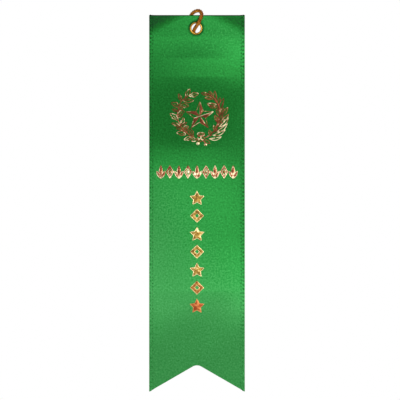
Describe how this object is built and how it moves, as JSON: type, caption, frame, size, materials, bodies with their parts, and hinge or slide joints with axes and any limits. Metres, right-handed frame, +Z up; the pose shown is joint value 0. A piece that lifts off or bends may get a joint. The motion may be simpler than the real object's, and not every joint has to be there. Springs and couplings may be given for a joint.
{
  "type": "award ribbon",
  "caption": "Flat satin award ribbon with a swallow tail, a brass eyelet, a hanging cord, a card in its fold and a star and wreath in foil.",
  "frame": {"origin": "centre of the eyelet, where the ribbon hangs", "axes": "+Z up the ribbon towards its fold, +X to the right as the face is seen, +Y towards the back"},
  "size_m": [0.0508, 0.0089, 0.2032],
  "materials": {
    "satin": "green polyester satin with woven selvedges",
    "card": "uncoated white card with plain ruled lines",
    "brass": "bright drawn brass",
    "cord": "twisted metallic yarn",
    "copper_foil": "hot-stamped metallised foil, copper with pale gold",
    "gold_foil": "hot-stamped metallised foil, old gold"
  },
  "bodies": {
    "head": {"ribbon_head": "satin", "event_card": "card", "eyelet": "brass", "cord_wrap": "cord"},
    "tail": {"ribbon_tail": "satin", "foil_star": "copper_foil", "foil_wreath_left": "copper_foil", "foil_wreath_right": "copper_foil", "foil_wreath_tie": "copper_foil", "foil_row_1": "copper_foil", "foil_row_2": "copper_foil", "foil_row_3": "copper_foil", "foil_row_4": "copper_foil", "foil_row_5": "copper_foil", "foil_row_6": "copper_foil", "foil_row_7": "copper_foil", "foil_row_8": "copper_foil", "foil_row_9": "copper_foil", "foil_column_1": "gold_foil", "foil_column_2": "gold_foil", "foil_column_3": "gold_foil", "foil_column_4": "gold_foil", "foil_column_5": "gold_foil", "foil_column_6": "gold_foil", "foil_column_7": "gold_foil"},
    "hanging_loop": {"cord_loop": "cord", "cord_knot": "cord"}
  },
  "joints": [
    {"name": "tail_lift", "type": "hinge", "parent": "head", "child": "tail", "pos_m": [0, -0.002, -0.0235], "axis": [-1, 0, 0], "range_deg": [0, 150]},
    {"name": "loop_swing", "type": "hinge", "parent": "head", "child": "hanging_loop", "pos_m": [0, 0.0054, -0.01], "axis": [1, 0, 0], "range_deg": [0, 170]}
  ]
}
